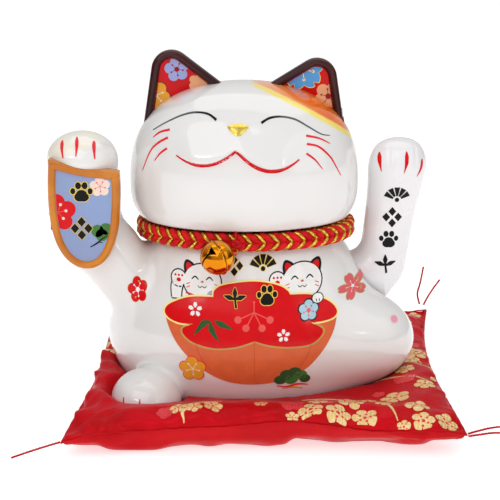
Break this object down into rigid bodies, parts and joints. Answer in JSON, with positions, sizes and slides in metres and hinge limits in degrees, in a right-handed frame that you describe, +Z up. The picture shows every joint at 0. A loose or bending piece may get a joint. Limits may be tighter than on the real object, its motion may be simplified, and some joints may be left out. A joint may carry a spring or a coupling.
{
  "type": "lucky cat figurine",
  "caption": "Seated glazed cat figurine with a waving arm, rope collar and bell, on a square padded brocade cushion.",
  "frame": {"origin": "centre of the cushion's flat underside, on the table", "axes": "+Z up, the cat faces -Y, +X to the viewer's right"},
  "size_m": [0.3494, 0.3041, 0.27],
  "materials": {
    "glazed_porcelain": "white gloss glaze with fired-on painted decoration",
    "pearl_plastic": "pearl white satin",
    "satin_brocade": "red satin with woven gold blossom pattern",
    "tassel_thread": "twisted rayon thread",
    "tie_thread": "twisted thread",
    "braided_rope": "braided red rayon with a gold metallic strand",
    "gold_metal": "polished gold plating",
    "brass": "plain brass",
    "zinc_steel": "zinc plated",
    "magnet_nickel": "nickel plated",
    "ivory_plastic": "satin moulded",
    "black_plastic": "satin moulded",
    "copper_wire": "enamelled winding",
    "green_board": "solder resist",
    "cell_wrap": "plain printed wrap",
    "red_wire": "soft insulation",
    "black_wire": "soft insulation"
  },
  "bodies": {
    "cushion": {"cushion": "satin_brocade", "tassel_front_left": "tassel_thread", "tassel_front_right_1": "tassel_thread", "tassel_front_right_2": "tassel_thread", "tassel_back_right_1": "tassel_thread", "tassel_back_right_2": "tassel_thread", "tassel_back_left": "tassel_thread"},
    "figurine": {"ceramic_body": "glazed_porcelain", "collar_rope": "braided_rope", "collar_sleeve": "gold_metal", "base_plate": "ivory_plastic", "retaining_clip_1": "black_plastic", "retaining_clip_2": "black_plastic", "retaining_clip_3": "black_plastic", "clip_screw_1": "zinc_steel", "clip_screw_2": "zinc_steel", "clip_screw_3": "zinc_steel", "battery_box": "black_plastic", "battery_cell_1": "cell_wrap", "battery_cell_2": "cell_wrap", "battery_spring_1": "zinc_steel", "battery_spring_2": "zinc_steel", "battery_contact_1": "brass", "battery_contact_2": "brass", "circuit_board": "green_board", "drive_tower": "ivory_plastic", "tower_screw_1": "zinc_steel", "tower_screw_2": "zinc_steel", "bush_inner": "brass", "bush_outer": "brass", "coil_bobbin": "black_plastic", "coil_winding": "copper_wire", "switch_body": "black_plastic", "battery_lead_red": "red_wire", "battery_lead_black": "black_wire", "coil_lead": "red_wire"},
    "waving_arm": {"arm_front_shell": "pearl_plastic", "arm_rear_shell": "pearl_plastic", "arm_hub": "ivory_plastic", "arm_axle": "zinc_steel", "axle_clip": "zinc_steel", "pendulum_lever": "ivory_plastic", "counterweight": "zinc_steel", "pendulum_magnet": "magnet_nickel"},
    "bell_tie": {"bell_tie": "tie_thread"},
    "bell": {"bell_cap": "gold_metal", "bell_cup": "gold_metal"},
    "bell_pellet": {"bell_pellet": "zinc_steel"},
    "battery_door": {"battery_door": "black_plastic"},
    "switch_knob": {"switch_knob": "black_plastic"}
  },
  "joints": [
    {"name": "lift_off", "type": "slide", "parent": "cushion", "child": "figurine", "axis": [0, 0, 1], "range_m": [0, 0.12]},
    {"name": "arm_wave", "type": "hinge", "parent": "figurine", "child": "waving_arm", "pos_m": [0.067, 0.005, 0.097], "axis": [1, 0, 0], "range_deg": [-20, 20]},
    {"name": "tie_turn", "type": "hinge", "parent": "figurine", "child": "bell_tie", "pos_m": [-0.02, -0.05774, 0.137], "axis": [1, 0, 0], "range_deg": [-35, 20]},
    {"name": "bell_swing", "type": "hinge", "parent": "bell_tie", "child": "bell", "pos_m": [-0.02085, -0.07057, 0.13357], "axis": [0, 1, 0], "range_deg": [-8, 8]},
    {"name": "pellet_roll", "type": "hinge", "parent": "bell", "child": "bell_pellet", "pos_m": [-0.033, -0.077, 0.13], "axis": [0, 1, 0], "continuous": true},
    {"name": "door_slide", "type": "slide", "parent": "figurine", "child": "battery_door", "axis": [0, 1, 0], "range_m": [0, 0.025]},
    {"name": "switch_slide", "type": "slide", "parent": "figurine", "child": "switch_knob", "axis": [1, 0, 0], "range_m": [0, 0.0036]}
  ]
}
